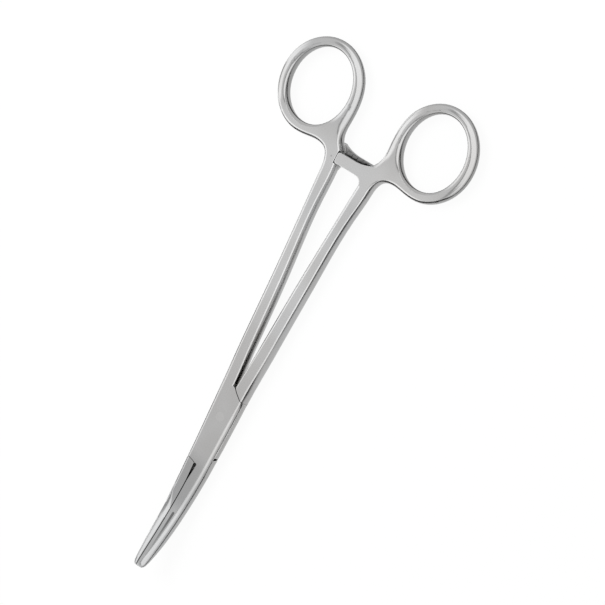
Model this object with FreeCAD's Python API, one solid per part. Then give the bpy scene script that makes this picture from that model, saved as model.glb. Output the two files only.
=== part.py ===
import FreeCAD, Part
import math
import os

from FreeCAD import Vector

# Curved box-lock hemostat forceps, closed on its ratchet.
# X runs toward the jaw tips, Y toward the through half's finger ring, Z upward.
# The origin is on the pivot pin's axis, in the plane on which the box lies.
# All sizes are in millimetres.

# Fits
PIN_RUNNING_CLEARANCE = 0.04
TENON_CLEARANCE = 0.06
SEAM_CLEARANCE = 0.14
JAW_CLEARANCE = 0.05
CREST_CLEARANCE = 0.10
POCKET_CLEARANCE = 0.25
TENON_END_CLEARANCE = 0.30

# Box lock, with values on the through half's side first and on the other side second
BOX_THICKNESS = 6.2
CHEEK_THICKNESS = 1.4
PIN_RADIUS = 1.55
BOX_START_X = -11.0
BOX_X = (0.0, 10.0, 20.2)
BOX_SIDE = ((5.12, 5.22), (4.98, 4.72), (4.72, 4.42))
BOX_BULGE = ((1.55, 1.20), (1.60, 1.10), (1.60, 1.10))
BOX_HALF_HEIGHT = (3.10, 3.05, 2.90)
PAST_SIDE = 12.0
SEAM_END_Y = 5.9
SEAM_SWING_RADIUS = 8.42
JAW_SEAM_SWING_RADIUS = 16.93
MEETING_Y = -0.35

# Seam corners on the box faces, from the crotch outward and from the jaws' root outward
CROTCH_LOW = (-10.9, -1.10)
CROTCH_MID = (-10.6, -0.55)
CROTCH_HIGH = (-10.7, -0.04)
SEAM_BEND = (-9.3, 1.36)
SEAM_EDGE = (-7.7, 3.42)
JAW_ROOT_HIGH = (18.6, 0.35)
JAW_ROOT_LOW = (17.3, -0.75)
JAW_SEAM_EDGE = (16.8, -2.10)
SLOT_END = (13.2, 5.2)
SLOT_START = (-5.2, -6.1)

# Tenon edges on the slot's open side and on its closed side, each from the handle to the jaw
TENON_OPEN_EDGE = ((-12.6, 4.2), (-9.3, 4.3), (-8.3, 5.05), (0.0, 5.05), (10.0, 4.92), (13.0, 4.84))
TENON_CLOSED_EDGE = (
    (-12.6, 0.35), (-10.5, -0.6), (-5.9, -4.75), (0.0, -4.6), (10.0, -4.1),
    (16.0, -3.85), (20.5, -3.3), (20.5, -1.2),
)
TENON_BULGE = 0.45
TENON_LEVELS = (1.0, 0.5, 0.0, -0.5, -1.0)

# Handles, as distances from the X axis at three stations, and the rounding of their sides
SHANK_X = (-20.0, -35.0, -51.5, -77.7)
BOX_SHANK_OUTER = (6.25, 6.95, 7.65, 9.15)
BOX_SHANK_INNER = (0.95, 1.62, 2.6, 4.25)
THROUGH_SHANK_OUTER = (5.6, 6.22, 6.95, 8.6)
THROUGH_SHANK_INNER = (0.12, 0.78, 1.7, 3.6)
BOX_END_OUTER = 5.8
THROUGH_END_OUTER = 5.2
SIDE_BULGE = 1.15
SHANK_END_BULGE = 1.35
CROTCH_BULGE = 0.45
CROTCH_X = -15.0
CROTCH_APPROACH_BULGE = 0.8
CROTCH_NEAR_BULGE = 0.6
CROTCH_LEAN = (0.25, 0.36, 0.46)
HANDLE_HALF_HEIGHT = 3.05
HANDLE_TAPER_DEG = 0.43
HANDLE_START_X = -5.0

# Finger rings and the webs that join them to the shanks
RING_REACH = 108.4
RING_SPREAD = 22.25
RING_CENTRE = (-RING_REACH, RING_SPREAD)
RING_RADII = (16.3, 14.55)
RING_FIRST_DEG = -12.0
RING_STEP_DEG = 25.2
RING_STEPS = 11
HOLE_CENTRE = (-RING_REACH - 0.2, RING_SPREAD + 0.05)
HOLE_RADII = (12.9, 10.45)
HOLE_BULGE = 1.1
OUTER_WEB = ((-85.0, 9.55), (-89.4, 10.15), (-92.0, 11.7), (-92.95, 14.6))
INNER_WEB = ((-103.5, 7.7), (-98.7, 7.6), (-96.3, 6.6), (-94.4, 5.3), (-91.5, 4.7), (-87.5, 4.35))

# Rounding of every side, as shares of half the height, and the broken edge along each flat
SIDE_LEVELS = (0.6, 0.25, 0.0)
EDGE_BREAK = 0.24
EDGE_BREAK_SHARE = 0.93

# Ratchet
ARM_JAW_SIDE_X = -89.9
BOX_ARM_RING_SIDE_X = ARM_JAW_SIDE_X - 4.95
THROUGH_ARM_RING_SIDE_X = ARM_JAW_SIDE_X - 3.75
ARM_END_Y = -5.9
ARM_ROOT_Y = 6.4
ARM_OVERLAP = 0.8
ARM_FLARE = 1.5
ARM_FLARE_SHARE = 0.40
ARM_FLARE_LENGTH = 2.2
ARM_FLARE_START_Y = 1.0
ARM_CORNER_RADIUS = 0.8
ARM_ROOT_FILLET = 2.4
ARM_FILLET_START_Y = 2.6
RATCHET_PITCH = 2.0
RATCHET_TEETH = 5
RATCHET_TOOTH_DEPTH = 0.7
RATCHET_CREST_SHARE = 0.85
RATCHET_END_MARGIN = 0.35
RATCHET_SIDE_MARGIN = 0.05
RATCHET_ROOT_OVERLAP = 0.3

# Jaws
JAW_BEND_RADIUS = 88.0
JAW_ARC = 36.0
JAW_STEP = 3.0
JAW_HALF_WIDTH = 4.57
JAW_OFF_CENTRE = 0.15
JAW_TAPER = 0.044
JAW_TIP_NARROWING = 0.6
JAW_HALF_HEIGHT = 2.90
JAW_HEIGHT_TAPER = 0.009
JAW_TIP_THINNING = 0.75
TIP_START = 15.0
TIP_SPAN = 18.0
JAW_BULGE = (1.6, 1.1)
CROWN_START = 9.5
CROWN_END = 14.5
SMALLEST_FLAT = 0.35
TIP_ROUNDING = ((1.2, 0.97), (0.45, 0.86), (0.0, 0.64))
SERRATION_PITCH = 0.75
SERRATION_DEPTH = 0.30
SERRATION_START_X = 23.65
SERRATION_END_X = 57.5
PAST_TIPS = 5.0

MID_Z = BOX_THICKNESS / 2.0
REACH = 200.0
BELOW = -5.0
ABOVE = 20.0


def spline(points):
    curve = Part.BSplineCurve()
    curve.interpolate(points)
    return curve


def side_profile(bulge):
    """Rows of (height share, inset) from the upper flat's edge to the lower one's."""
    upper = [(1.0, bulge + EDGE_BREAK), (EDGE_BREAK_SHARE, bulge * EDGE_BREAK_SHARE ** 2)]
    upper += [(share, bulge * share ** 2) for share in SIDE_LEVELS]
    return upper + [(-share, inset) for share, inset in reversed(upper[:-1])]


def polygon_prism(points, low, high):
    corners = [Vector(x, y, low) for x, y in points]
    face = Part.Face(Part.makePolygon(corners + corners[:1]))
    return face.extrude(Vector(0, 0, high - low))


def swing_arc(radius, start, end_y, bow):
    """Arc about the pin's axis, from a seam corner out past the side of the box."""
    side = math.copysign(1.0, end_y)
    start_x = math.copysign(math.sqrt(radius ** 2 - start ** 2), bow)
    end_x = math.copysign(math.sqrt(radius ** 2 - end_y ** 2), bow)
    half_turn = (math.atan2(start, start_x) + math.atan2(end_y, end_x)) / 2.0
    middle = (radius * math.cos(half_turn), radius * math.sin(half_turn))
    return [(start_x, start), middle, (end_x, end_y), (end_x, PAST_SIDE * side)]


# Handle with its ring, shank and web, lying on the positive side of the X axis
def handle_points(outer, inner, end_outer):
    points = [(HANDLE_START_X, end_outer - 0.1, SIDE_BULGE)]
    points.append((BOX_START_X, end_outer, SHANK_END_BULGE))
    points += [(x, y, SIDE_BULGE) for x, y in zip(SHANK_X, outer)]
    points += [(x, y, SIDE_BULGE) for x, y in OUTER_WEB]
    for step in range(RING_STEPS):
        angle = math.radians(RING_FIRST_DEG + step * RING_STEP_DEG)
        x = RING_CENTRE[0] + RING_RADII[0] * math.cos(angle)
        y = RING_CENTRE[1] + RING_RADII[1] * math.sin(angle)
        points.append((x, y, SIDE_BULGE))
    points += [(x, y, SIDE_BULGE) for x, y in INNER_WEB]
    points += [(x, y, SIDE_BULGE) for x, y in zip(SHANK_X[:0:-1], inner[:0:-1])]
    points.append((SHANK_X[0], inner[0], CROTCH_APPROACH_BULGE))
    points.append((CROTCH_X, inner[0] - CROTCH_LEAN[0], CROTCH_NEAR_BULGE))
    points.append((BOX_START_X, inner[0] - CROTCH_LEAN[1], CROTCH_BULGE))
    points.append((HANDLE_START_X, inner[0] - CROTCH_LEAN[2], CROTCH_BULGE))
    return points


def spacing(points):
    """Distances along the plan, so that the curves at all heights share their knots."""
    total = [0.0]
    for here, ahead in zip(points[:-1], points[1:]):
        total.append(total[-1] + math.hypot(ahead[0] - here[0], ahead[1] - here[1]))
    return total


def handle_wire(points, row):
    knots = spacing(points)
    middle = Part.BSplineCurve()
    middle.interpolate(Points=[Vector(x, y, 0) for x, y, bulge in points], Parameters=knots)
    share, inset = side_profile(0.0)[row]
    height = MID_Z + share * HANDLE_HALF_HEIGHT
    level = []
    for (x, y, bulge), knot in zip(points, knots):
        share, inset = side_profile(bulge)[row]
        tangent = middle.tangent(knot)[0]
        moved = Vector(x, y, height) + Vector(-tangent.y, tangent.x, 0) * inset
        if x == HANDLE_START_X:
            moved.x = x
        level.append(moved)
    outline = Part.BSplineCurve()
    outline.interpolate(Points=level, Parameters=knots)
    wire = Part.Wire([outline.toShape(), Part.makeLine(level[-1], level[0])])
    wire.rotate(Vector(BOX_START_X, 0, height), Vector(0, 1, 0), -HANDLE_TAPER_DEG * share)
    return wire


def ring_hole():
    wires = []
    for share, inset in side_profile(HOLE_BULGE):
        centre = Vector(HOLE_CENTRE[0], HOLE_CENTRE[1], MID_Z + share * HANDLE_HALF_HEIGHT)
        oval = Part.Ellipse(centre, HOLE_RADII[0] + inset, HOLE_RADII[1] + inset)
        wires.append(Part.Wire([oval.toShape()]))
    return Part.makeLoft(wires, True, True)


def above_handle():
    block = Part.makeBox(REACH, REACH, ABOVE, Vector(BOX_START_X - REACH, -REACH / 2.0, 0))
    block.translate(Vector(0, 0, MID_Z + HANDLE_HALF_HEIGHT))
    pivot = Vector(BOX_START_X, 0, MID_Z + HANDLE_HALF_HEIGHT)
    block.rotate(pivot, Vector(0, 1, 0), -HANDLE_TAPER_DEG)
    return block


def arm_plan(ring_side_x, low):
    """Outline of one ratchet arm, filleted into the ring's web on both sides."""
    root_y = ARM_ROOT_Y + ARM_OVERLAP
    half_turn = 1.0 - math.cos(math.radians(45.0))
    jaw_edge = Vector(ARM_JAW_SIDE_X, ARM_END_Y, low)
    jaw_bend = Vector(ARM_JAW_SIDE_X, ARM_FILLET_START_Y, low)
    jaw_mid = jaw_bend + Vector(ARM_ROOT_FILLET * half_turn, ARM_ROOT_FILLET * (1.0 - half_turn), 0)
    jaw_root = jaw_bend + Vector(ARM_ROOT_FILLET, ARM_ROOT_FILLET, 0)
    root_in = Vector(jaw_root.x, root_y, low)
    ring_in = Vector(ring_side_x - ARM_FLARE, root_y, low)
    ring_root = Vector(ring_side_x - ARM_FLARE, ARM_ROOT_Y, low)
    flare_y = ARM_ROOT_Y - ARM_FLARE_LENGTH
    ring_mid = Vector(ring_side_x - ARM_FLARE_SHARE * ARM_FLARE, flare_y, low)
    ring_bend = Vector(ring_side_x, ARM_FLARE_START_Y, low)
    ring_end = Vector(ring_side_x, ARM_END_Y, low)
    return Part.Wire([
        Part.makeLine(ring_end, jaw_edge),
        Part.makeLine(jaw_edge, jaw_bend),
        Part.Arc(jaw_bend, jaw_mid, jaw_root).toShape(),
        Part.makeLine(jaw_root, root_in),
        Part.makeLine(root_in, ring_in),
        Part.makeLine(ring_in, ring_root),
        Part.Arc(ring_root, ring_mid, ring_bend).toShape(),
        Part.makeLine(ring_bend, ring_end),
    ])


def ratchet_arm(ring_side_x):
    low = MID_Z + CREST_CLEARANCE / 2.0 + RATCHET_TOOTH_DEPTH
    arm = Part.Face(arm_plan(ring_side_x, low)).extrude(Vector(0, 0, HANDLE_HALF_HEIGHT))
    corners = []
    for edge in arm.Edges:
        upright = abs(edge.Vertexes[0].X - edge.Vertexes[-1].X) < 0.001
        at_end = all(abs(vertex.Y - ARM_END_Y) < 0.001 for vertex in edge.Vertexes)
        if upright and at_end:
            corners.append(edge)
    arm = arm.makeFillet(ARM_CORNER_RADIUS, corners)
    side_x = ring_side_x + RATCHET_SIDE_MARGIN
    width = ARM_JAW_SIDE_X - ring_side_x - 2.0 * RATCHET_SIDE_MARGIN
    for tooth in range(RATCHET_TEETH):
        start = ARM_END_Y + RATCHET_END_MARGIN + tooth * RATCHET_PITCH
        crest = start + RATCHET_PITCH * RATCHET_CREST_SHARE
        section = [
            Vector(side_x, start, low + RATCHET_ROOT_OVERLAP),
            Vector(side_x, start, low),
            Vector(side_x, crest, low - RATCHET_TOOTH_DEPTH),
            Vector(side_x, start + RATCHET_PITCH, low),
            Vector(side_x, start + RATCHET_PITCH, low + RATCHET_ROOT_OVERLAP),
        ]
        face = Part.Face(Part.makePolygon(section + section[:1]))
        arm = arm.fuse(face.extrude(Vector(width, 0, 0)))
    return arm


def handle(outer, inner, end_outer, own_arm_x, other_arm_x):
    """Ring, shank, web and upper ratchet arm, with a pocket below for the other arm's end."""
    points = handle_points(outer, inner, end_outer)
    rows = len(side_profile(SIDE_BULGE))
    body = Part.makeLoft([handle_wire(points, row) for row in range(rows)], True, True)
    body = body.cut(ring_hole())
    pocket_x = other_arm_x - POCKET_CLEARANCE
    pocket_y = -ARM_END_Y + POCKET_CLEARANCE
    length = ARM_JAW_SIDE_X + POCKET_CLEARANCE - pocket_x
    pocket = Part.makeBox(length, 2.0 * pocket_y, MID_Z - BELOW, Vector(pocket_x, -pocket_y, BELOW))
    body = body.cut(pocket)
    body = body.fuse(ratchet_arm(own_arm_x))
    return body.cut(above_handle()).removeSplitter()


def turned_over(shape):
    turned = shape.copy()
    turned.rotate(Vector(0, 0, MID_Z), Vector(1, 0, 0), 180)
    return turned


# Box and jaws, as one bar of flat-topped, round-sided sections
def side_edges(side, bulge, half_height, direction):
    """Short edges down one side of a section, from the upper flat to the lower one."""
    points = []
    for share, inset in side_profile(bulge):
        points.append(Vector(0, direction * (side - inset), share * half_height))
    return [Part.makeLine(here, ahead) for here, ahead in zip(points[:-1], points[1:])]


def closed_section(down, up):
    """Section from the edges down one side and the edges up the other."""
    top = Part.makeLine(up[-1].Vertexes[-1].Point, down[0].Vertexes[0].Point)
    bottom = Part.makeLine(down[-1].Vertexes[-1].Point, up[0].Vertexes[0].Point)
    return Part.Wire([top] + down + [bottom] + up)


def reverse_edges(edges):
    return [Part.makeLine(edge.Vertexes[-1].Point, edge.Vertexes[0].Point) for edge in reversed(edges)]


def section_wire(side, bulge, half_height):
    through = side_edges(side[0], bulge[0], half_height, 1.0)
    other = side_edges(side[1], bulge[1], half_height, -1.0)
    return closed_section(through, reverse_edges(other))


def jaw_sections():
    arcs = []
    arc = JAW_STEP
    while arc < JAW_ARC - TIP_ROUNDING[0][0] - 0.5 * JAW_STEP:
        arcs.append((arc, 1.0))
        arc += JAW_STEP
    arcs += [(JAW_ARC - back, scale) for back, scale in TIP_ROUNDING]
    wires = []
    for arc, scale in arcs:
        tip = max(0.0, (arc - TIP_START) / TIP_SPAN)
        half = JAW_HALF_WIDTH - JAW_TAPER * arc - JAW_TIP_NARROWING * tip ** 3
        height = JAW_HALF_HEIGHT - JAW_HEIGHT_TAPER * arc - JAW_TIP_THINNING * tip ** 3
        side = [(half + JAW_OFF_CENTRE) * scale, (half - JAW_OFF_CENTRE) * scale]
        crown = min(1.0, max(0.0, (arc - CROWN_START) / (CROWN_END - CROWN_START)))
        largest_bulge = [width - EDGE_BREAK - SMALLEST_FLAT for width in side]
        bulges = [min(plain, most) for plain, most in zip(JAW_BULGE, largest_bulge)]
        bulges[1] += crown * (largest_bulge[1] - bulges[1])
        wire = section_wire(side, bulges, height * scale)
        angle = arc / JAW_BEND_RADIUS
        wire.rotate(Vector(0, 0, 0), Vector(0, 1, 0), -math.degrees(angle))
        x = BOX_X[-1] + JAW_BEND_RADIUS * math.sin(angle)
        z = MID_Z + JAW_BEND_RADIUS * (1.0 - math.cos(angle))
        wire.translate(Vector(x, 0, z))
        wires.append(wire)
    return wires


def lock_bar(shank):
    """Full-width bar from the shanks' meeting to the tips; it starts on the box half's shank."""
    ends = [face for face in shank.Faces if abs(face.CenterOfMass.x - BOX_START_X) < 0.001]
    corners = [vertex.Point for vertex in ends[0].Vertexes]
    outer = sorted((p for p in corners if p.y < -BOX_END_OUTER / 2.0), key=lambda p: p.z)
    up = [Part.makeLine(here, ahead) for here, ahead in zip(outer[:-1], outer[1:])]
    down = side_edges(THROUGH_END_OUTER, SHANK_END_BULGE, HANDLE_HALF_HEIGHT, 1.0)
    for edge in down:
        edge.translate(Vector(BOX_START_X, 0, MID_Z))
    wires = [closed_section(down, up)]
    for x, side, bulge, half_height in zip(BOX_X, BOX_SIDE, BOX_BULGE, BOX_HALF_HEIGHT):
        wire = section_wire(side, bulge, half_height)
        wire.translate(Vector(x, 0, MID_Z))
        wires.append(wire)
    return Part.makeLoft(wires + jaw_sections(), True, True)


def serration_line(gap):
    points = []
    count = int((SERRATION_END_X - SERRATION_START_X) / SERRATION_PITCH)
    for tooth in range(count):
        x = SERRATION_START_X + tooth * SERRATION_PITCH
        points.append((x, MEETING_Y - SERRATION_DEPTH / 2.0 + gap))
        points.append((x + SERRATION_PITCH / 2.0, MEETING_Y + SERRATION_DEPTH / 2.0 + gap))
    return points


def box_half_plan():
    """Plan of the cheeks and of the jaw that belongs to the box half."""
    points = [(BOX_START_X - 1.0, -PAST_SIDE), (BOX_START_X - 1.0, CROTCH_LOW[1])]
    points += [CROTCH_LOW, CROTCH_MID, CROTCH_HIGH, SEAM_BEND]
    points += swing_arc(SEAM_SWING_RADIUS, SEAM_EDGE[1], SEAM_END_Y, -1.0)
    points.append((SERRATION_END_X + PAST_TIPS, PAST_SIDE))
    points.append((SERRATION_END_X + PAST_TIPS, MEETING_Y))
    points += reversed(serration_line(JAW_CLEARANCE))
    points += [JAW_ROOT_HIGH, JAW_ROOT_LOW]
    points += swing_arc(JAW_SEAM_SWING_RADIUS, JAW_SEAM_EDGE[1], -SEAM_END_Y, 1.0)
    return points


def jaw_plan():
    """Plan of the jaw that belongs to the through half."""
    swing = JAW_SEAM_SWING_RADIUS + SEAM_CLEARANCE
    points = [(JAW_ROOT_LOW[0] + SEAM_CLEARANCE, JAW_ROOT_LOW[1] - JAW_CLEARANCE)]
    points += serration_line(-JAW_CLEARANCE)
    points += [(SERRATION_END_X + PAST_TIPS, MEETING_Y), (SERRATION_END_X + PAST_TIPS, -PAST_SIDE)]
    points += reversed(swing_arc(swing, JAW_SEAM_EDGE[1] - SEAM_CLEARANCE, -SEAM_END_Y, 1.0))
    return points


def seam_plan():
    """Plan that keeps the through half's shank clear of the cheeks."""
    gap = SEAM_CLEARANCE
    swing = SEAM_SWING_RADIUS + gap
    points = [(CROTCH_HIGH[0] - 2.0 * gap, -PAST_SIDE), (CROTCH_HIGH[0] - gap, CROTCH_HIGH[1] + gap / 2.0)]
    points.append((SEAM_BEND[0] - gap, SEAM_BEND[1] + gap / 2.0))
    points += swing_arc(swing, SEAM_EDGE[1] + gap / 2.0, SEAM_END_Y, -1.0)
    points += [(0.0, PAST_SIDE), (0.0, -PAST_SIDE)]
    return points


def slot_plan():
    before_box = BOX_START_X - 0.5
    return [
        (before_box, CROTCH_LOW[1]), CROTCH_LOW, SLOT_START, (SLOT_START[0], -PAST_SIDE),
        (JAW_ROOT_HIGH[0], -PAST_SIDE), JAW_ROOT_HIGH, SLOT_END, (SLOT_END[0], PAST_SIDE),
        (before_box, PAST_SIDE),
    ]


def tenon():
    """Tongue of the through half between the cheeks, rounded on its open side like the box."""
    end = TENON_END_CLEARANCE
    corner = (JAW_ROOT_HIGH[0] - end, JAW_ROOT_HIGH[1] - end)
    half_height = MID_Z - CHEEK_THICKNESS - TENON_CLEARANCE
    wires = []
    for share in TENON_LEVELS:
        plan = [(x, y - TENON_BULGE * share ** 2) for x, y in TENON_OPEN_EDGE]
        plan += [corner] + list(reversed(TENON_CLOSED_EDGE))
        corners = [Vector(x, y, MID_Z + share * half_height) for x, y in plan]
        wires.append(Part.makePolygon(corners + corners[:1]))
    return Part.makeLoft(wires, True, True)


def pin(radius):
    return Part.makeCylinder(radius, ABOVE - BELOW, Vector(0, 0, BELOW))


def largest(shape):
    return max(shape.Solids, key=lambda solid: solid.Volume)


def build():
    box_handle = turned_over(handle(
        BOX_SHANK_OUTER, BOX_SHANK_INNER, BOX_END_OUTER, BOX_ARM_RING_SIDE_X, THROUGH_ARM_RING_SIDE_X,
    ))
    past_start = Part.makeBox(REACH, REACH, REACH, Vector(BOX_START_X, -REACH / 2.0, -REACH / 2.0))
    box_handle = largest(box_handle.cut(past_start))
    through_handle = handle(
        THROUGH_SHANK_OUTER, THROUGH_SHANK_INNER, THROUGH_END_OUTER,
        THROUGH_ARM_RING_SIDE_X, BOX_ARM_RING_SIDE_X,
    )
    bar = lock_bar(box_handle)

    slot = polygon_prism(slot_plan(), CHEEK_THICKNESS, BOX_THICKNESS - CHEEK_THICKNESS)
    box_lock = bar.common(polygon_prism(box_half_plan(), BELOW, ABOVE)).cut(slot)
    box_half = largest(box_handle.fuse(box_lock).cut(pin(PIN_RADIUS)).removeSplitter())

    jaw = bar.common(polygon_prism(jaw_plan(), BELOW, ABOVE))
    shank = through_handle.cut(polygon_prism(seam_plan(), BELOW, ABOVE))
    through_half = shank.fuse(tenon()).fuse(jaw).cut(pin(PIN_RADIUS + PIN_RUNNING_CLEARANCE))
    through_half = largest(through_half.removeSplitter())

    pivot_pin = Part.makeCylinder(PIN_RADIUS, BOX_THICKNESS)
    return {"box_half": box_half, "through_half": through_half, "pivot_pin": pivot_pin}


if __name__ == "__main__":
    os.makedirs("parts", exist_ok=True)
    for node, shape in build().items():
        print(node, shape.isValid(), len(shape.Solids), round(shape.Volume, 2))
        shape.exportStep("parts/" + node + ".step")
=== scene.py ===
"""Looks of a curved box-lock hemostat forceps, closed on its ratchet, on a pale studio floor."""

import logging
import math
from dataclasses import dataclass
from enum import Enum
from typing import Any, Mapping, Sequence

import bmesh
import bpy
import numpy as np
from mathutils import Matrix, Vector
from mathutils.geometry import delaunay_2d_cdt


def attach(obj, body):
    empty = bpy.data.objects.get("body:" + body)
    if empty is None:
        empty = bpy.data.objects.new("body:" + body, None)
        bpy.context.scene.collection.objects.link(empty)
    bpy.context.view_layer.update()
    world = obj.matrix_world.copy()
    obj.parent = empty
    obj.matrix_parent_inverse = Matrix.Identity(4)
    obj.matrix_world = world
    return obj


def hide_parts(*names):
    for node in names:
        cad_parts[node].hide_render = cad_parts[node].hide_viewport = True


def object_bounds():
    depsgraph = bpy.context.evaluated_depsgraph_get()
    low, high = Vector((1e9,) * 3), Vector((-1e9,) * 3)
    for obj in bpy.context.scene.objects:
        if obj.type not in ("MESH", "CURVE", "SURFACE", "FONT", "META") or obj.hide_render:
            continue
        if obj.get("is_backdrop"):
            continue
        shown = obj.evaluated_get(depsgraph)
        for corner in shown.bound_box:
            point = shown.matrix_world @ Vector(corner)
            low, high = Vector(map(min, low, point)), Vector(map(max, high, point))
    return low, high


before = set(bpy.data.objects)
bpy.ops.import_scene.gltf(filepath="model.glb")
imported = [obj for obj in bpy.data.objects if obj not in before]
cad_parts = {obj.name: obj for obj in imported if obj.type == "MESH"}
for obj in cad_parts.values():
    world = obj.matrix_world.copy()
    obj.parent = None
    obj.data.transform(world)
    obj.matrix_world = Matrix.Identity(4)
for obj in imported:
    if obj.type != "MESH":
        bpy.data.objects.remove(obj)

MM = 0.001
PHOTO_SIDE_PX = 605
JAW_START_M = 0.0202
JAW_BEND_RADIUS_M = 0.088
SENSOR_MM = 36.0
MERGE_MM = 0.0005
# The kind of triangulation that fills the whole hull of its points.
WHOLE_HULL = 0
# Seams are painted dark as shade in the gaps where the two halves meet.
# A seam is its two ends in plan and its half width at each of them.
BOX_SHADED_SEAMS_MM = (
    ((-10.8, -0.1), (-9.37, 1.36), 0.16, 0.16),
    ((-9.37, 1.36), (-7.77, 3.42), 0.16, 0.16),
    ((17.9, -0.22), (23.9, -0.35), 0.66, 0.20),
)
# Faint painted shade along shallower seams, and one small dark speck.
FAINT_SHADED_SEAMS_AND_SPECK_MM = (
    ((-7.77, 3.42), (-7.1, 5.3), 0.14, 0.14),
    ((17.37, -0.8), (16.87, -2.1), 0.14, 0.14),
    ((16.87, -2.1), (16.45, -3.8), 0.14, 0.14),
    ((38.0, -0.4), (54.5, -0.4), 0.38, 0.34),
    ((-91.35, -7.6), (-91.25, -7.6), 0.30, 0.30),
)
# Painted shade: a dark streak on the +Y jaw's flat, fading out towards the tip.
JAW_STREAK_MM = (((35.1, 1.35), (51.0, 0.95), 0.50, 0.18),)
JAW_STREAK_FADE_MM = (53.0, 37.0)
# Painted shade along the line where the jaws meet, on their flats.
JAW_SHADED_SEAMS_MM = (((23.9, -0.35), (55.6, -0.35), 0.20, 0.14),)
# Box of painted shade at the jaw roots.
JAW_ROOTS_MM = ((12.0, -6.0, -9.0), (36.5, 5.2, 21.0))
# Box of painted shade on the ratchet arms.
RATCHET_ZONE_MM = ((-99.5, -8.0, 1.6), (-87.0, 8.0, 4.6))
PIN_CLEAR_MM = 2.6
MIDDLE_Z_MM = 3.1
CREST_PITCH_MM = 0.75
CREST_ROWS = 41
CREST_LAND_MM = (0.12, 0.05, 4.6)
CREST_NARROWING_PER_MM = 0.0165
BOX_CREST_MM = (23.65, -0.43)
THROUGH_CREST_MM = (24.025, -0.27)
TOOTH_PITCH_MM = 2.0
TEETH = 5
TOOTH_LAND_WIDTH_MM = 0.18
TOOTH_LAND_HEIGHT_MM = 0.05
TOOTH_CREST_Y_MM = 3.85
TOOTH_CREST_FROM_MIDDLE_MM = 0.075
ARM_JAW_SIDE_X_MM = -89.95
BOX_ARM_WIDTH_MM = 4.85
THROUGH_ARM_WIDTH_MM = 3.65
LAND_INPUTS = {
    "Count": "NodeSocketInt",
    "First": "NodeSocketVector",
    "Step": "NodeSocketVector",
    "Land": "NodeSocketVector",
    "Narrowing": "NodeSocketFloat",
    "Bend start": "NodeSocketFloat",
    "Bend radius": "NodeSocketFloat",
    "Finish": "NodeSocketMaterial",
}
ALONG = (1.0, 0.0, 0.0)
UP = (0.0, 0.0, 1.0)
IN_PLAN = (1.0, 1.0, 0.0)
RIGHT_OF_PHOTO = Vector((-0.55, 0.84, 0.0)).normalized()
LOG = logging.getLogger("hemostat")


class Body(Enum):
    """Moving bodies that a piece can ride on."""

    BOX = "box_body"
    THROUGH = "through_body"


class Ray(Enum):
    """Kinds of ray that see the white of the floor directly."""

    CAMERA = "Is Camera Ray"
    GLOSSY = "Is Glossy Ray"
    TRANSMISSION = "Is Transmission Ray"


class Value:
    """One value socket of a node tree, so that shader maths reads as an expression."""

    def __init__(self, graph: "Graph", socket: bpy.types.NodeSocket) -> None:
        """Wraps a socket.

        Args:
            graph: Tree that new nodes are added to.
            socket: Output socket that carries the value.
        """
        self.graph = graph
        self.socket = socket

    def _maths(self, operation: str, *values: Any) -> "Value":
        """Adds one Math node.

        Args:
            operation: The Math node's operation.
            *values: Its inputs in order, as numbers or values.

        Returns:
            The result as a value.
        """
        return self.graph.value("ShaderNodeMath", {"operation": operation}, dict(enumerate(values)))

    def __add__(self, other: Any) -> "Value":
        """Sum."""
        return self._maths("ADD", self, other)

    def __radd__(self, other: Any) -> "Value":
        """Sum with a plain number on the left."""
        return self._maths("ADD", other, self)

    def __sub__(self, other: Any) -> "Value":
        """Difference."""
        return self._maths("SUBTRACT", self, other)

    def __rsub__(self, other: Any) -> "Value":
        """Difference from a plain number on the left."""
        return self._maths("SUBTRACT", other, self)

    def __mul__(self, other: Any) -> "Value":
        """Product."""
        return self._maths("MULTIPLY", self, other)

    def __rmul__(self, other: Any) -> "Value":
        """Product with a plain number on the left."""
        return self._maths("MULTIPLY", other, self)

    def power(self, exponent: float) -> "Value":
        """This value raised to a power."""
        return self._maths("POWER", self, exponent)

    def highest(self, other: Any) -> "Value":
        """The larger of this value and another."""
        return self._maths("MAXIMUM", self, other)

    def lowest(self, other: Any) -> "Value":
        """The smaller of this value and another."""
        return self._maths("MINIMUM", self, other)

    def step(self, low: float, high: float) -> "Value":
        """Smooth step of this value.

        Args:
            low: Where the step is still 0. It may be above high.
            high: Where the step has become 1.

        Returns:
            A value from 0 to 1.
        """
        settings = {"interpolation_type": "SMOOTHSTEP"}
        inputs = {"Value": self, "From Min": low, "From Max": high}
        return self.graph.value("ShaderNodeMapRange", settings, inputs)


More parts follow.
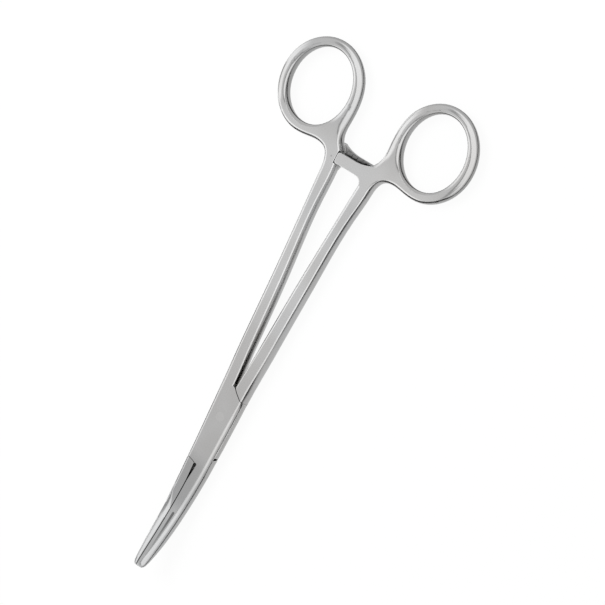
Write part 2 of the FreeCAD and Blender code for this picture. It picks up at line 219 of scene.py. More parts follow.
class Graph:
    """A node tree with one method for every node."""

    def __init__(self, tree: bpy.types.NodeTree) -> None:
        """Clears a tree and keeps it.

        Args:
            tree: A material's or the world's node tree.
        """
        self.tree = tree
        tree.nodes.clear()

    def node(
        self, kind: str, settings: Mapping[str, Any] | None = None, inputs: Mapping[Any, Any] | None = None
    ) -> bpy.types.Node:
        """Adds a node, with its settings made before its sockets are filled.

        Args:
            kind: The node's type.
            settings: Attributes of the node.
            inputs: Numbers, colours, sockets or values by the input's name or place.

        Returns:
            The new node.
        """
        node = self.tree.nodes.new(kind)
        for name, setting in (settings or {}).items():
            setattr(node, name, setting)
        for name, filling in (inputs or {}).items():
            source = filling.socket if isinstance(filling, Value) else filling
            if isinstance(source, bpy.types.NodeSocket):
                self.tree.links.new(source, node.inputs[name])
            else:
                node.inputs[name].default_value = source
        return node

    def value(
        self, kind: str, settings: Mapping[str, Any], inputs: Mapping[Any, Any], output: Any = 0
    ) -> Value:
        """Adds a node and gives one of its outputs as a value.

        Args:
            kind: The node's type.
            settings: Attributes of the node.
            inputs: What its sockets hold.
            output: Name or place of the output.

        Returns:
            The output as a value.
        """
        return Value(self, self.node(kind, settings, inputs).outputs[output])

    def mix(self, share: Any, first: Any, second: Any) -> bpy.types.NodeSocket:
        """Mixes two colours. The Mix node holds them in inputs 6 and 7 and gives the mix in output 2.

        Args:
            share: How much of the second colour shows.
            first: Colour or socket at share 0.
            second: Colour or socket at share 1.

        Returns:
            The mixed colour's socket.
        """
        node = self.node("ShaderNodeMix", {"data_type": "RGBA"}, {0: share, 6: first, 7: second})
        return node.outputs[2]

    def vector(self, operation: str, first: Any, second: Any) -> bpy.types.NodeSocket:
        """Adds one Vector Math node that gives a vector.

        Args:
            operation: The node's operation.
            first: First vector or socket.
            second: Second vector or socket.

        Returns:
            The result's socket.
        """
        return self.node("ShaderNodeVectorMath", {"operation": operation}, {0: first, 1: second}).outputs[0]

    def dot(self, vector: bpy.types.NodeSocket, direction: Sequence[float]) -> Value:
        """How far a vector points along a fixed direction.

        Args:
            vector: The vector's socket.
            direction: Unit direction.

        Returns:
            Their dot product.
        """
        ends = {0: vector, 1: tuple(direction)}
        return self.value("ShaderNodeVectorMath", {"operation": "DOT_PRODUCT"}, ends, "Value")


def grey(level: float, warmth: float = 0.0) -> tuple[float, float, float, float]:
    """Colour of a near-grey metal.

    Args:
        level: Lightness in linear light.
        warmth: Positive for a warm tint, negative for a cool one.

    Returns:
        An RGBA colour.
    """
    return (level * (1.0 + warmth), level, level * (1.0 - warmth), 1.0)


@dataclass(frozen=True)
class BrushedSteel:
    """Satin stainless steel, brushed along the instrument, with the wear on its broken edges painted lighter
    as a highlight.
    """

    name: str
    light: float = 0.56
    dark: float = 0.49
    tint: float = 0.012
    patch_per_m: float = 55.0
    patch_steps: tuple[float, float] = (0.3, 0.7)
    cast_per_m: float = 33.0
    cast_steps: tuple[float, float] = (0.45, 0.7)
    cast_share: float = 0.35
    # Painted light on the handles, less on their sides and rings.
    handle_light_paint: float = 0.17
    handle_mm: tuple[float, float] = (45.0, -100.0)
    side_light_paint: float = 0.15
    ring_light_paint: float = 0.35
    ring_mm: tuple[float, float] = (-90.0, -104.0)
    rim_shade: float = 0.55
    ring_side_shade: float = 0.22
    roughness: float = 0.16
    roughness_spread: float = 0.07
    grain_across_per_m: float = 5200.0
    grain_along_per_m: float = 160.0
    grain_height_mm: float = 0.0035
    rounding_mm: float = 0.35
    rounding_samples: int = 8
    edge_width_mm: float = 0.30
    edge_samples: int = 6
    edge_steps: tuple[float, float] = (0.995, 0.90)
    # Lightness of the painted highlight on broken edges.
    edge_highlight: float = 0.92
    edge_roughness: float = 0.16
    edge_spread: float = 2.2
    flat_steps: tuple[float, float] = (0.2, 0.5)
    # Colour of all painted shade.
    shade_level: float = 0.03
    seam_core: float = 0.7
    faint_share: float = 0.30
    streak_share: float = 0.68
    jaw_shade: float = 0.24
    tooth_shade: float = 0.80
    zone_soft_share: float = 0.3
    pin_core_share: float = 0.85

    def material(self) -> bpy.types.Material:
        """Builds the finish.

        Returns:
            A node material on Object coordinates.
        """
        material = bpy.data.materials.new(self.name)
        material.use_nodes = True
        graph = Graph(material.node_tree)
        place = graph.node("ShaderNodeTexCoord").outputs["Object"]
        stretch = (self.grain_along_per_m, self.grain_across_per_m, self.grain_across_per_m)
        grain = self._noise(graph, graph.vector("MULTIPLY", place, stretch), 1.0, 3.0)
        patches = self._noise(graph, place, self.patch_per_m, 2.0)
        every_seam = BOX_SHADED_SEAMS_MM + FAINT_SHADED_SEAMS_AND_SPECK_MM + JAW_SHADED_SEAMS_MM
        open_edge = 1.0 - self._seams(graph, place, every_seam, self.edge_spread)
        open_edge = open_edge * self._far_from_pin(graph, place)
        edges = self._edges(graph) * open_edge
        rough = self.roughness + (grain - 0.5 + (patches - 0.5)) * self.roughness_spread
        rough = rough + edges * (self.edge_roughness - self.roughness)
        rounding = {"Radius": open_edge * (self.rounding_mm * MM)}
        soft = graph.node("ShaderNodeBevel", {"samples": self.rounding_samples}, rounding).outputs[0]
        relief = {"Strength": 1.0, "Distance": self.grain_height_mm * MM, "Height": grain, "Normal": soft}
        surface = {
            "Base Color": self._colour(graph, place, patches, edges),
            "Metallic": 1.0,
            "Roughness": rough,
            "Normal": graph.node("ShaderNodeBump", {}, relief).outputs["Normal"],
        }
        shader = graph.node("ShaderNodeBsdfPrincipled", {}, surface)
        graph.node("ShaderNodeOutputMaterial", {}, {"Surface": shader.outputs[0]})
        return material

    def _colour(
        self, graph: Graph, place: bpy.types.NodeSocket, patches: Value, edges: Value
    ) -> bpy.types.NodeSocket:
        """Mixes the steel's tone with painted light on the handles, painted shade at the jaw roots, on the
        ratchet, on the rings' rims and sides and in the seams, and a painted highlight on the broken edges.

        Args:
            graph: Tree that new nodes are added to.
            place: Object coordinates.
            patches: Slow change of tone over the surface.
            edges: Mask of the broken edges.

        Returns:
            The colour's socket.
        """
        upright = graph.dot(graph.node("ShaderNodeNewGeometry").outputs["True Normal"], UP)
        on_top = (upright * upright).step(*self.flat_steps)
        along = graph.dot(place, ALONG)
        at_ring = along.step(self.ring_mm[0] * MM, self.ring_mm[1] * MM)
        # Painted light: the steel is painted lighter towards the rings, most on the upper and lower faces
        # and less on the sides and on the rings themselves, as a lit copy of its tone.
        light_paint = along.step(self.handle_mm[0] * MM, self.handle_mm[1] * MM)
        light_paint = light_paint * (on_top * (1.0 - self.side_light_paint) + self.side_light_paint)
        light_paint = light_paint * (1.0 - at_ring * (1.0 - self.ring_light_paint))
        dark = graph.mix(light_paint, grey(self.dark, self.tint), grey(self.dark + self.handle_light_paint, self.tint))
        light = graph.mix(light_paint, grey(self.light), grey(self.light + self.handle_light_paint))
        base = graph.mix(patches.step(*self.patch_steps), dark, light)
        cast = self._noise(graph, place, self.cast_per_m, 1.0).step(*self.cast_steps) * self.cast_share
        cool = graph.mix(cast, base, grey(self.light, -2.0 * self.tint))
        # Painted shade at the jaw roots.
        jaw_root_shade = self._zone(graph, place, *JAW_ROOTS_MM) * self.jaw_shade
        # Painted shade on the ratchet arms, where the upper arm shades the lower.
        teeth = self._zone(graph, place, *RATCHET_ZONE_MM) * self.tooth_shade
        shaded = graph.mix(jaw_root_shade.highest(teeth), cool, grey(self.shade_level))
        # Painted highlight: broken edges are painted lighter, except on the shaded ratchet and the rings.
        edge_highlight_share = edges * (1.0 - teeth) * (1.0 - at_ring)
        edge_painted = graph.mix(edge_highlight_share, shaded, grey(self.edge_highlight))
        # Painted shade: the rings' broken edges and side walls are painted darker.
        rim = (edges * self.rim_shade).highest((1.0 - on_top) * self.ring_side_shade)
        edge_painted = graph.mix(rim * at_ring, edge_painted, grey(self.shade_level))
        # Painted shade in the seams and as a streak on the +Y jaw, with one small dark speck.
        return graph.mix(self._painted_shade_lines(graph, place, along, on_top), edge_painted, grey(self.shade_level))

    def _painted_shade_lines(self, graph: Graph, place: bpy.types.NodeSocket, along: Value, on_top: Value) -> Value:
        """Mask of the painted shade in all seams, of one small dark speck, and of the painted shade streak
        on the +Y jaw.

        Args:
            graph: Tree that new nodes are added to.
            place: Object coordinates.
            along: Place along the instrument.
            on_top: Mask of the upper and lower flats.

        Returns:
            1 on a full seam and less on a faint one.
        """
        lines = self._seams(graph, place, BOX_SHADED_SEAMS_MM, 1.0)
        lines = lines.highest(self._seams(graph, place, JAW_SHADED_SEAMS_MM, 1.0) * on_top)
        lines = lines.highest(self._seams(graph, place, FAINT_SHADED_SEAMS_AND_SPECK_MM, 1.0) * self.faint_share)
        # Painted shade streak on the +Y jaw's flat.
        fade = along.step(JAW_STREAK_FADE_MM[0] * MM, JAW_STREAK_FADE_MM[1] * MM)
        streak = self._seams(graph, place, JAW_STREAK_MM, 1.0) * fade * on_top
        return lines.highest(streak * self.streak_share)

    def _noise(self, graph: Graph, vector: bpy.types.NodeSocket, scale: float, detail: float) -> Value:
        """Smooth noise.

        Args:
            graph: Tree that new nodes are added to.
            vector: Where the noise is read.
            scale: Its scale.
            detail: How many finer layers it has.

        Returns:
            A value around 0.5.
        """
        inputs = {"Vector": vector, "Scale": scale, "Detail": detail}
        return graph.value("ShaderNodeTexNoise", {}, inputs, "Fac")

    def _seams(
        self, graph: Graph, place: bpy.types.NodeSocket, seams: Sequence[Any], spread: float
    ) -> Value:
        """Mask of lines, such as the seams where the two halves meet, where shade is painted dark.

        Args:
            graph: Tree that new nodes are added to.
            place: Object coordinates.
            seams: Ends of each line and its half widths there, in millimetres.
            spread: How many times wider than the seams the mask is.

        Returns:
            1 on a seam and 0 away from it.
        """
        plan = graph.vector("MULTIPLY", place, IN_PLAN)
        mask = None
        for start, end, half_at_start, half_at_end in seams:
            first = Vector((*start, 0.0)) * MM
            run = Vector((*end, 0.0)) * MM - first
            way = run.normalized()
            off = graph.vector("SUBTRACT", plan, first)
            along = graph.dot(off, way).highest(0.0).lowest(run.length)
            nearest = graph.node("ShaderNodeVectorMath", {"operation": "SCALE"}, {0: way, "Scale": along})
            ends = {0: off, 1: nearest.outputs[0]}
            away = graph.value("ShaderNodeVectorMath", {"operation": "DISTANCE"}, ends, "Value")
            growth = (half_at_end - half_at_start) * MM * spread / run.length
            half = along * growth + half_at_start * MM * spread
            line = (away * half.power(-1.0)).step(1.0, self.seam_core)
            mask = line if mask is None else mask.highest(line)
        return mask

    def _zone(
        self, graph: Graph, place: bpy.types.NodeSocket, low_mm: Sequence[float], high_mm: Sequence[float]
    ) -> Value:
        """Mask of an upright box with soft sides.

        Args:
            graph: Tree that new nodes are added to.
            place: Object coordinates.
            low_mm: The box's lowest corner.
            high_mm: Its highest corner.

        Returns:
            1 well inside the box and 0 outside it.
        """
        mask = None
        for axis, low, high in zip(Matrix.Identity(3), low_mm, high_mm):
            soft = (high - low) * self.zone_soft_share
            along = graph.dot(place, axis)
            inside = along.step(low * MM, (low + soft) * MM) * along.step(high * MM, (high - soft) * MM)
            mask = inside if mask is None else mask * inside
        return mask

    def _far_from_pin(self, graph: Graph, place: bpy.types.NodeSocket) -> Value:
        """1 away from the pin and 0 at its flush rim, which shows no broken edge."""
        plan = graph.vector("MULTIPLY", place, IN_PLAN)
        away = graph.value("ShaderNodeVectorMath", {"operation": "LENGTH"}, {0: plan}, "Value")
        return away.step(PIN_CLEAR_MM * self.pin_core_share * MM, PIN_CLEAR_MM * MM)

    def _edges(self, graph: Graph) -> Value:
        """Mask of the broken edges, from how far a small rounding would turn the surface."""
        width = {"Radius": self.edge_width_mm * MM}
        rounded = graph.node("ShaderNodeBevel", {"samples": self.edge_samples}, width).outputs[0]
        flat = graph.node("ShaderNodeNewGeometry").outputs["True Normal"]
        ends = {0: rounded, 1: flat}
        turn = graph.value("ShaderNodeVectorMath", {"operation": "DOT_PRODUCT"}, ends, "Value")
        return turn.step(*self.edge_steps)


@dataclass(frozen=True)
class FloorFinish:
    """Pale floor that reads as white and keeps a soft shadow."""

    name: str = "pale_floor"
    colour: float = 0.9
    white_share: float = 0.93

    def material(self) -> bpy.types.Material:
        """Builds the finish.

        Returns:
            A material that mixes a white glow into a matt floor for direct rays.
        """
        material = bpy.data.materials.new(self.name)
        material.use_nodes = True
        graph = Graph(material.node_tree)
        path = graph.node("ShaderNodeLightPath")
        seen = Value(graph, path.outputs[Ray.CAMERA.value])
        for ray in (Ray.GLOSSY, Ray.TRANSMISSION):
            seen = seen.highest(Value(graph, path.outputs[ray.value]))
        matt = graph.node("ShaderNodeBsdfDiffuse", {}, {"Color": grey(self.colour)})
        glow = graph.node("ShaderNodeEmission", {}, {"Color": grey(1.0), "Strength": 1.0})
        share = seen * self.white_share
        both = graph.node("ShaderNodeMixShader", {}, {0: share, 1: matt.outputs[0], 2: glow.outputs[0]})
        graph.node("ShaderNodeOutputMaterial", {}, {"Surface": both.outputs[0]})
        return material


def flat_direction(x: float) -> Vector:
    """Which way the upper flat faces at a place along the instrument.

    Args:
        x: Place along the instrument, in metres.

    Returns:
        Unit normal of the flat, which turns with the bend of the jaws.
    """
    along = max(0.0, x - JAW_START_M) / JAW_BEND_RADIUS_M
    return Vector((-along, 0.0, math.sqrt(1.0 - along * along)))


def smooth_step(value: float, low: float, high: float) -> float:
    """Smooth step from 0 at low to 1 at high."""
    share = min(1.0, max(0.0, (value - low) / (high - low)))
    return share * share * (3.0 - 2.0 * share)


class Rims:
    """The outlines of one flat side of a ring, seen in plan."""

    def __init__(self, flat: Sequence[bmesh.types.BMFace]) -> None:
        """Finds the edges round a flat, and which way the flat lies from each vertex of them.

        Args:
            flat: The flat's faces.
        """
        inside = set(flat)
        toward = {}
        for face in flat:
            for edge in face.edges:
                if sum(link in inside for link in edge.link_faces) == 1:
                    toward[edge] = face.calc_center_median().xy
        self.verts = list(dict.fromkeys(vert for edge in toward for vert in edge.verts))
        number = {vert: index for index, vert in enumerate(self.verts)}
        self.edges = [tuple(number[vert] for vert in edge.verts) for edge in toward]
        self.points = [vert.co.xy for vert in self.verts]
        self.starts = np.array([self.points[first] for first, _ in self.edges])
        self.ends = np.array([self.points[second] for _, second in self.edges])
        inward = [Vector((0.0, 0.0)) for _ in self.verts]
        for (first, second), middle in zip(self.edges, toward.values()):
            across = (self.points[second] - self.points[first]).orthogonal().normalized()
            if across.dot(middle - self.points[first]) < 0.0:
                across.negate()
            inward[first] += across
            inward[second] += across
        self.inward = [way.normalized() for way in inward]

    def distance(self, points: np.ndarray) -> np.ndarray:
        """Distance from points to the nearest edge.

        Args:
            points: One point a row.

        Returns:
            One distance a point.
        """
        run = self.ends - self.starts
        off = points[:, None, :] - self.starts[None, :, :]
        share = np.clip((off * run).sum(2) / (run * run).sum(1), 0.0, 1.0)
        return np.linalg.norm(off - share[:, :, None] * run, axis=2).min(1)

    def between(self, points: np.ndarray) -> np.ndarray:
        """Which points lie between the outlines, by counting the edges crossed on the way out.

        Args:
            points: One point a row.

        Returns:
            One truth value a point.
        """
        x, y = points[:, :1], points[:, 1:]
        straddles = (self.starts[:, 1] > y) != (self.ends[:, 1] > y)
        rise = self.ends[:, 1] - self.starts[:, 1]
        rise = np.where(rise == 0.0, 1.0, rise)
        crossing = self.starts[:, 0] + (y - self.starts[:, 1]) * (self.ends[:, 0] - self.starts[:, 0]) / rise
        return (straddles & (x < crossing)).sum(1) % 2 == 1

    def row(self, width: float, least_share: float) -> list[Vector]:
        """Points along the outlines, moved into the flat.

        Args:
            width: How far they are moved.
            least_share: Share of that width that has to lie between a point and every edge.

        Returns:
            The points that keep clear of all the edges.
        """
        row = np.array([point + way * width for point, way in zip(self.points, self.inward)])
        kept = (self.distance(row) > least_share * width) & self.between(row)
        return [Vector(point) for point in row[kept]]


@dataclass(frozen=True)
class RingCrown:
    """Rounding of a finger ring's upper and lower sides across its bar."""

    cut_x_mm: float = -95.5
    full_x_mm: float = -103.0
    depth_mm: float = 0.40
    rows_mm: tuple[float, ...] = (0.32, 0.70, 1.10)
    row_clear_share: float = 0.95
    reach_mm: float = 1.45
    side_mm: tuple[float, float] = (1.2, 2.1)
    level_normal: float = 0.99
    touch_mm: float = 0.0001
    fill_tolerance_m: float = 1e-9

    def refine(self, work: bmesh.types.BMesh) -> dict[bmesh.types.BMVert, float]:
        """Gives the ring's flats rows of vertices along their rims.

        Args:
            work: Mesh of a forceps half, in metres.

        Returns:
            How much of the crown's depth each vertex of the flats sinks, 1 at the rims.
        """
        cut = self.cut_x_mm * MM
        everything = [*work.verts, *work.edges, *work.faces]
        bmesh.ops.bisect_plane(
            work, geom=everything, dist=self.touch_mm * MM, plane_co=(cut, 0.0, 0.0), plane_no=ALONG
        )
        work.normal_update()
        shares = {}
        for side in (1.0, -1.0):
            flat = [
                face
                for face in work.faces
                if face.calc_center_median().x < cut and face.normal.z * side > self.level_normal
            ]
            shares.update(self._refill(work, flat))
        loose = [vert for vert in work.verts if not vert.link_faces]
        bmesh.ops.delete(work, geom=loose, context="VERTS")
        return {vert: share for vert, share in shares.items() if vert.is_valid}

    def _refill(
        self, work: bmesh.types.BMesh, flat: Sequence[bmesh.types.BMFace]
    ) -> dict[bmesh.types.BMVert, float]:
        """Replaces the faces of one flat by finer ones.

        Args:
            work: Mesh of a forceps half, in metres.
            flat: The faces of one side of a ring.

        Returns:
            How much of the crown's depth each vertex of the flat sinks, 1 at the rims.
        """
        largest = max(flat, key=lambda face: face.calc_area())
        normal, centre = largest.normal.copy(), largest.calc_center_median()
        rims = Rims(flat)
        points = list(rims.points)
        for width_mm in self.rows_mm:
            points += rims.row(width_mm * MM, self.row_clear_share)
        bmesh.ops.delete(work, geom=list(flat), context="FACES")
        fill = delaunay_2d_cdt(points, rims.edges, [], WHOLE_HULL, self.fill_tolerance_m)
        plan, _, triangles, origins, _, _ = fill
        filled = []
        shares = {}
        for point, origin, away in zip(plan, origins, rims.distance(np.array(plan))):
            if origin and origin[0] < len(rims.verts):
                vert = rims.verts[origin[0]]
            else:
                slope = normal.x * (point.x - centre.x) + normal.y * (point.y - centre.y)
                vert = work.verts.new((point.x, point.y, centre.z - slope / normal.z))
            filled.append(vert)
            shares[vert] = max(0.0, 1.0 - away / (self.reach_mm * MM)) ** 2
        corners = np.array([[plan[corner] for corner in triangle] for triangle in triangles])
        for triangle, real in zip(triangles, rims.between(corners.mean(1))):
            if real:
                order = triangle if normal.z > 0.0 else triangle[::-1]
                work.faces.new([filled[corner] for corner in order])
        return shares

    def sink(self, work: bmesh.types.BMesh, shares: Mapping[bmesh.types.BMVert, float]) -> None:
        """Sinks the rims, and with them the edges of the sides.

        Args:
            work: Mesh of a forceps half, in metres.
            shares: How much of the depth each vertex of the flats sinks.
        """
        low, high = (height * MM for height in self.side_mm)
        for vert in work.verts:
            fade = smooth_step(vert.co.x, self.cut_x_mm * MM, self.full_x_mm * MM)
            height = vert.co.z - MIDDLE_Z_MM * MM
            share = shares.get(vert, smooth_step(abs(height), low, high))
            vert.co.z -= math.copysign(share * fade * self.depth_mm * MM, height)


def shown_copy(node: str, name: str, crease_deg: float, flat_deg: float) -> bpy.types.Object:
    """Merged copy of a forceps half, smooth but for its real edges, with its ring crowned.

    Args:
        node: The half's CAD node.
        name: Name of the new piece.
        crease_deg: Turn between two faces above which their edge stays sharp.
        flat_deg: How far a face of a flat may lean from the flat's own direction.

    Returns:
        The new piece, which rides on nothing yet.
    """
    work = bmesh.new()
    work.from_mesh(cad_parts[node].data)
    bmesh.ops.remove_doubles(work, verts=work.verts, dist=MERGE_MM * MM)
    bmesh.ops.dissolve_degenerate(work, edges=work.edges, dist=MERGE_MM * MM)
    crown = RingCrown()
    shares = crown.refine(work)
    work.normal_update()
    crease = math.radians(crease_deg)
    flat = math.cos(math.radians(flat_deg))
    on_flat = set()
    for face in work.faces:
        face.smooth = True
        if abs(face.normal.dot(flat_direction(face.calc_center_median().x))) > flat:
            on_flat.add(face)
    for edge in work.edges:
        sides = edge.link_faces
        at_flat = len(sides) == 2 and (sides[0] in on_flat) != (sides[1] in on_flat)
        edge.smooth = len(sides) == 2 and not at_flat and edge.calc_face_angle(0.0) < crease
    crown.sink(work, shares)
    work.normal_update()
    mesh = bpy.data.meshes.new(name)
    work.to_mesh(mesh)
    work.free()
    if "custom_normal" in mesh.attributes:
        mesh.attributes.remove(mesh.attributes["custom_normal"])
    piece = bpy.data.objects.new(name, mesh)
    bpy.context.collection.objects.link(piece)
    return piece


def dress(piece: bpy.types.Object, material: bpy.types.Material) -> None:
    """Gives a piece one material.

    Args:
        piece: Object with a mesh.
        material: Its finish.
    """
    piece.data.materials.clear()
    piece.data.materials.append(material)
    LOG.info("piece %s: %d faces, finish %s", piece.name, len(piece.data.polygons), material.name)


@dataclass
class ForcepsHalf:
    """One of the two crossing halves: ring, shank, its share of the box lock, and jaw."""

    node: str
    body: Body
    slot: str
    finish: BrushedSteel
    crease_deg: float = 27.0
    flat_deg: float = 12.0

    def build(self) -> bpy.types.Object:
        """Makes the half's shown piece.

        Returns:
            The piece, riding on its body in place of the CAD node.
        """
        piece = shown_copy(self.node, self.node + "_shown", self.crease_deg, self.flat_deg)
        dress(piece, self.finish.material())
        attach(piece, self.body.value)
        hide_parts(self.node)
        return piece


@dataclass(frozen=True)
class WearAndSheenLands:
    """Lands along a row of crests, with their wear painted lighter as a highlight, made by one node tree for
    jaws and ratchet alike.
    """

    name: str
    body: Body
    slot: str
    count: int
    first_mm: tuple[float, float, float]
    step_mm: tuple[float, float, float]
    land_mm: tuple[float, float, float]
    narrowing_per_mm: float = 0.0
    # Lighter steel for the lands: their wear, painted lighter as a highlight.
    finish: BrushedSteel = BrushedSteel("wear_and_sheen_land", light=0.76, dark=0.66)

    def build(self) -> bpy.types.Object:
        """Makes the lands as one plain mesh.

        Returns:
            The piece, riding on its body.
        """
        material = self.finish.material()
        sizes = {
            "Count": self.count,
            "First": Vector(self.first_mm) * MM,
            "Step": Vector(self.step_mm) * MM,
            "Land": Vector(self.land_mm) * MM,
            "Narrowing": self.narrowing_per_mm / MM,
            "Bend start": JAW_START_M,
            "Bend radius": JAW_BEND_RADIUS_M,
            "Finish": material,
        }
        piece = bpy.data.objects.new(self.name, bpy.data.meshes.new(self.name))
        bpy.context.collection.objects.link(piece)
        modifier = piece.modifiers.new("lands", "NODES")
        tree = self._tree()
        modifier.node_group = tree
        for item in tree.interface.items_tree:
            if item.in_out == "INPUT":
                modifier[item.identifier] = sizes[item.name]
        evaluated = piece.evaluated_get(bpy.context.evaluated_depsgraph_get())
        mesh = bpy.data.meshes.new_from_object(evaluated)
        piece.modifiers.clear()
        piece.data = mesh
        dress(piece, material)
        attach(piece, self.body.value)
        return piece

    def _tree(self) -> bpy.types.NodeTree:
        """Builds the node tree: a row of points that follows the jaws' bend, with a land on each.

        Returns:
            The tree, whose inputs carry the sizes.
        """
        tree = bpy.data.node_groups.new(self.name + "_tree", "GeometryNodeTree")
        graph = Graph(tree)
        for name, kind in LAND_INPUTS.items():
            tree.interface.new_socket(name, in_out="INPUT", socket_type=kind)
        tree.interface.new_socket("Geometry", in_out="OUTPUT", socket_type="NodeSocketGeometry")
        sizes = graph.node("NodeGroupInput").outputs
        row = graph.node(
            "GeometryNodeMeshLine",
            {"mode": "OFFSET"},
            {"Count": sizes["Count"], "Start Location": sizes["First"], "Offset": sizes["Step"]},
        )
        place = graph.node("GeometryNodeInputPosition").outputs[0]
        past = (graph.dot(place, ALONG) - Value(graph, sizes["Bend start"])).highest(0.0)
        radius = Value(graph, sizes["Bend radius"])
        rise = radius - (radius * radius - past * past).power(0.5)
        lift = graph.node("ShaderNodeCombineXYZ", {}, {"Z": rise})
        moved = {"Geometry": row.outputs[0], "Offset": lift.outputs[0]}
        bent = graph.node("GeometryNodeSetPosition", {}, moved)
        height = 1.0 - past * Value(graph, sizes["Narrowing"])
        scale = graph.node("ShaderNodeCombineXYZ", {}, {"X": 1.0, "Y": 1.0, "Z": height})
        land = graph.node("GeometryNodeMeshCube", {}, {"Size": sizes["Land"]})
        lands = graph.node(
            "GeometryNodeInstanceOnPoints",
            {},
            {"Points": bent.outputs[0], "Instance": land.outputs[0], "Scale": scale.outputs[0]},
        )
        real = graph.node("GeometryNodeRealizeInstances", {}, {"Geometry": lands.outputs[0]})
        dressed = graph.node(
            "GeometryNodeSetMaterial", {}, {"Geometry": real.outputs[0], "Material": sizes["Finish"]}
        )
        graph.node("NodeGroupOutput", {}, {"Geometry": dressed.outputs[0]})
        return tree


@dataclass
class PivotPin:
    """The flush pin through both halves."""

    node: str = "pivot_pin"
    finish: BrushedSteel = BrushedSteel("pin_steel_shown", light=0.58, dark=0.52)

    def build(self) -> bpy.types.Object:
        """Dresses the pin, whose CAD shape is already the real one.

        Returns:
            The pin's object.
        """
        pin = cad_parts[self.node]
        dress(pin, self.finish.material())
        return pin


@dataclass
class Studio:
    """Pale floor, soft light and the world that the steel reflects."""

    floor_half_m: float = 1.5
    floor_drop_mm: float = 0.02
    key_size_m: float = 0.5
    key_watts: float = 4.0
    key_place_m: tuple[float, float, float] = (-0.15, -0.45, 0.75)
    aim_m: tuple[float, float, float] = (-0.035, 0.0, 0.0)
    plain_level: float = 0.8
    room_level: float = 0.80
    softbox_level: float = 1.25
    softbox_across: tuple[float, float] = (0.06, 0.26)
    softbox_height: tuple[float, float] = (0.26, 0.42)
    left_level: float = 1.35
    left_across: tuple[float, float] = (-0.50, -0.75)
    floor_level: float = 0.76
    floor_blend: float = 0.08
    strip_darkness: float = 1.0
    strip_normal: tuple[float, float, float] = (-0.229, -0.475, 1.0)
    strip_place: float = -0.61
    strip_half: float = 0.15
    strip_core: float = 0.3
    overhead_darkness: float = 0.5
    overhead_left: tuple[float, float] = (-0.16, -0.04)
    overhead_right: tuple[float, float] = (0.14, 0.06)
    overhead_height: tuple[float, float] = (0.55, 0.80)
    horizon_darkness: float = 0.65
    horizon_across: tuple[float, float] = (-0.62, -0.80)
    horizon_top: tuple[float, float] = (0.16, 0.02)
    horizon_bottom: tuple[float, float] = (-0.60, -0.40)
    horizon_along: tuple[float, float] = (0.06, 0.16)

    def build(self) -> None:
        """Builds floor, lamp and world."""
        self._floor()
        self._key()
        self._world()

    def _floor(self) -> None:
        """A wide flat floor under the instrument."""
        mesh = bpy.data.meshes.new("floor")
        side = self.floor_half_m
        corners = [(-side, -side, 0.0), (side, -side, 0.0), (side, side, 0.0), (-side, side, 0.0)]
        mesh.from_pydata(corners, [], [(0, 1, 2, 3)])
        floor = bpy.data.objects.new("floor", mesh)
        bpy.context.collection.objects.link(floor)
        floor.data.materials.append(FloorFinish().material())
        floor.visible_glossy = False
        floor.location.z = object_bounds()[0][2] - self.floor_drop_mm * MM
        floor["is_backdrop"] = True

    def _key(self) -> None:
        """One large soft lamp from the upper left, which the steel doesn't mirror."""
        lamp = bpy.data.lights.new("key", "AREA")
        lamp.shape = "DISK"
        lamp.size = self.key_size_m
        lamp.energy = self.key_watts
        key = bpy.data.objects.new("key", lamp)
        key.location = self.key_place_m
        toward = Vector(self.key_place_m) - Vector(self.aim_m)
        key.rotation_euler = toward.to_track_quat("Z", "Y").to_euler()
        key.visible_glossy = False
        bpy.context.collection.objects.link(key)

    def _world(self) -> None:
        """Even pale room for all but the steel, which mirrors softboxes and dark strips instead."""
        world = bpy.data.worlds.new("studio")
        bpy.context.scene.world = world
        world.use_nodes = True
        graph = Graph(world.node_tree)
        way = graph.node("ShaderNodeTexCoord").outputs["Generated"]
        mirrored = {"Color": grey(1.0), "Strength": self._mirrored_level(graph, way)}
        glossy = graph.node("ShaderNodeBackground", {}, mirrored)
        plain = graph.node("ShaderNodeBackground", {}, {"Color": grey(1.0), "Strength": self.plain_level})
        share = graph.node("ShaderNodeLightPath").outputs[Ray.GLOSSY.value]
        both = graph.node("ShaderNodeMixShader", {}, {0: share, 1: plain.outputs[0], 2: glossy.outputs[0]})
        graph.node("ShaderNodeOutputWorld", {}, {"Surface": both.outputs[0]})

    def _mirrored_level(self, graph: Graph, way: bpy.types.NodeSocket) -> Value:
        """Brightness of the room as the steel mirrors it.

        Args:
            graph: The world's tree.
            way: Direction of a ray.

        Returns:
            Brightness in that direction: softboxes at the right and left, darkness overhead, a dark
            band low on the left, the floor below, and a dark strip where the floor begins.
        """
        height = graph.dot(way, UP)
        across = graph.dot(way, RIGHT_OF_PHOTO)
        lean = graph.dot(way, self.strip_normal)
        softbox = height.step(*self.softbox_height) * across.step(*self.softbox_across)
        overhead = across.step(*self.overhead_left) * across.step(*self.overhead_right)
        overhead = overhead * height.step(*self.overhead_height)
        horizon = across.step(*self.horizon_across) * graph.dot(way, ALONG).step(*self.horizon_along)
        horizon = horizon * height.step(*self.horizon_top) * height.step(*self.horizon_bottom)
        low, high = self.strip_place - self.strip_half, self.strip_place + self.strip_half
        core = self.strip_half * self.strip_core
        strip = lean.step(high, self.strip_place + core) * lean.step(low, self.strip_place - core)
        level = self.room_level * (1.0 - overhead * self.overhead_darkness)
        level = level + softbox * (self.softbox_level - level)
        level = level + across.step(*self.left_across) * (self.left_level - level)
        under = lean.step(self.strip_place, self.strip_place - self.floor_blend)
        level = level + under * (self.floor_level - level)
        level = level * (1.0 - horizon * self.horizon_darkness)
        return level * (1.0 - strip * self.strip_darkness)


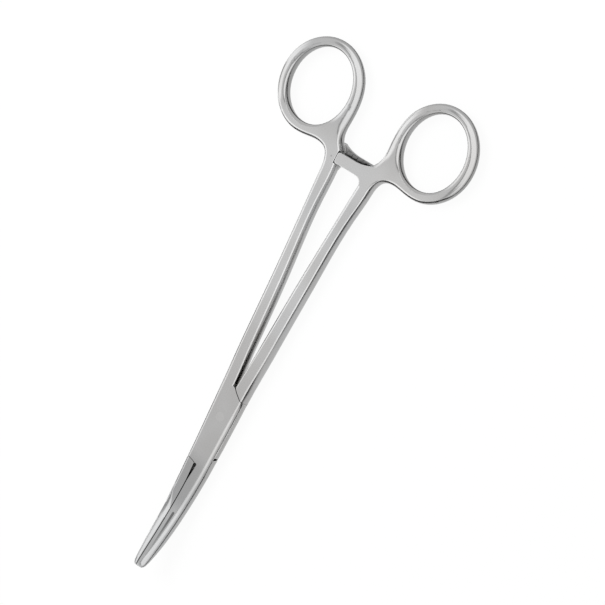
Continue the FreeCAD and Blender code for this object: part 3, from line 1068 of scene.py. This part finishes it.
@dataclass(frozen=True)
class PhotoCamera:
    """Camera at the photograph's viewing angle."""

    aim_mm: tuple[float, float, float] = (-35.0, 0.0, 3.1)
    tilt_deg: float = 22.9402
    heading_deg: float = 121.0408
    roll_deg: float = 119.6848
    distance_mm: float = 1507.826
    px_per_mm: float = 3.131815
    aim_px: tuple[float, float] = (273.2505, 321.6502)
    clip_m: tuple[float, float] = (0.05, 10.0)

    def build(self) -> bpy.types.Object:
        """Places the camera and makes it the scene's.

        Returns:
            The camera.
        """
        tilt = math.radians(self.tilt_deg)
        heading = math.radians(self.heading_deg)
        roll = math.radians(self.roll_deg)
        level = Vector((math.cos(heading), math.sin(heading), 0.0))
        back = level * math.sin(tilt) + Vector(UP) * math.cos(tilt)
        right = Vector((math.cos(roll), math.sin(roll), 0.0))
        right = (right - back * right.dot(back)).normalized()
        up = back.cross(right)
        middle = PHOTO_SIDE_PX / 2.0
        aim = Vector(self.aim_mm)
        aim += right * ((middle - self.aim_px[0]) / self.px_per_mm)
        aim += up * ((self.aim_px[1] - middle) / self.px_per_mm)
        data = bpy.data.cameras.new("camera")
        data.sensor_width = SENSOR_MM
        data.lens = self.distance_mm * self.px_per_mm * SENSOR_MM / PHOTO_SIDE_PX
        data.clip_start, data.clip_end = self.clip_m
        camera = bpy.data.objects.new("camera", data)
        turn = Matrix((right, up, back)).transposed().to_4x4()
        camera.matrix_world = Matrix.Translation((aim + back * self.distance_mm) * MM) @ turn
        bpy.context.collection.objects.link(camera)
        bpy.context.scene.camera = camera
        return camera


def jaw_lands(name: str, body: Body, slot: str, crest_mm: tuple[float, float]) -> WearAndSheenLands:
    """Lands on the serration crests of one jaw.

    Args:
        name: Name of the piece.
        body: Body of the jaw.
        slot: The body's material slot; not used.
        crest_mm: Place of the first crest in plan.

    Returns:
        The piece's builder.
    """
    return WearAndSheenLands(
        name,
        body,
        slot,
        CREST_ROWS,
        (*crest_mm, MIDDLE_Z_MM),
        (CREST_PITCH_MM, 0.0, 0.0),
        CREST_LAND_MM,
        CREST_NARROWING_PER_MM,
    )


def ratchet_lands(name: str, body: Body, slot: str, side: float, width_mm: float) -> WearAndSheenLands:
    """Lands on the crests of one ratchet arm's teeth.

    Args:
        name: Name of the piece.
        body: Body of the arm.
        slot: The body's material slot; not used.
        side: 1 for the lower arm, whose teeth point up, and -1 for the upper one.
        width_mm: Length of a tooth.

    Returns:
        The piece's builder.
    """
    height_mm = MIDDLE_Z_MM - side * TOOTH_CREST_FROM_MIDDLE_MM
    return WearAndSheenLands(
        name,
        body,
        slot,
        TEETH,
        (ARM_JAW_SIDE_X_MM - width_mm / 2.0, side * TOOTH_CREST_Y_MM, height_mm),
        (0.0, -side * TOOTH_PITCH_MM, 0.0),
        (width_mm, TOOTH_LAND_WIDTH_MM, TOOTH_LAND_HEIGHT_MM),
    )


def main() -> None:
    """Builds the looks around the frame."""
    logging.basicConfig(level=logging.INFO, format="%(message)s")
    bpy.context.scene.view_settings.view_transform = "Standard"
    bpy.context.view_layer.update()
    box_slot, through_slot = "box_half_steel", "through_half_steel"
    for piece in (
        ForcepsHalf("box_half", Body.BOX, box_slot, BrushedSteel("box_half_steel_shown")),
        ForcepsHalf("through_half", Body.THROUGH, through_slot, BrushedSteel("through_half_steel_shown")),
        PivotPin(),
        jaw_lands("box_half_serration_lands", Body.BOX, box_slot, BOX_CREST_MM),
        jaw_lands("through_half_serration_lands", Body.THROUGH, through_slot, THROUGH_CREST_MM),
        ratchet_lands("box_half_ratchet_lands", Body.BOX, box_slot, 1.0, BOX_ARM_WIDTH_MM),
        ratchet_lands("through_half_ratchet_lands", Body.THROUGH, through_slot, -1.0, THROUGH_ARM_WIDTH_MM),
    ):
        piece.build()
    Studio().build()
    PhotoCamera().build()


if __name__ == "__main__":
    main()
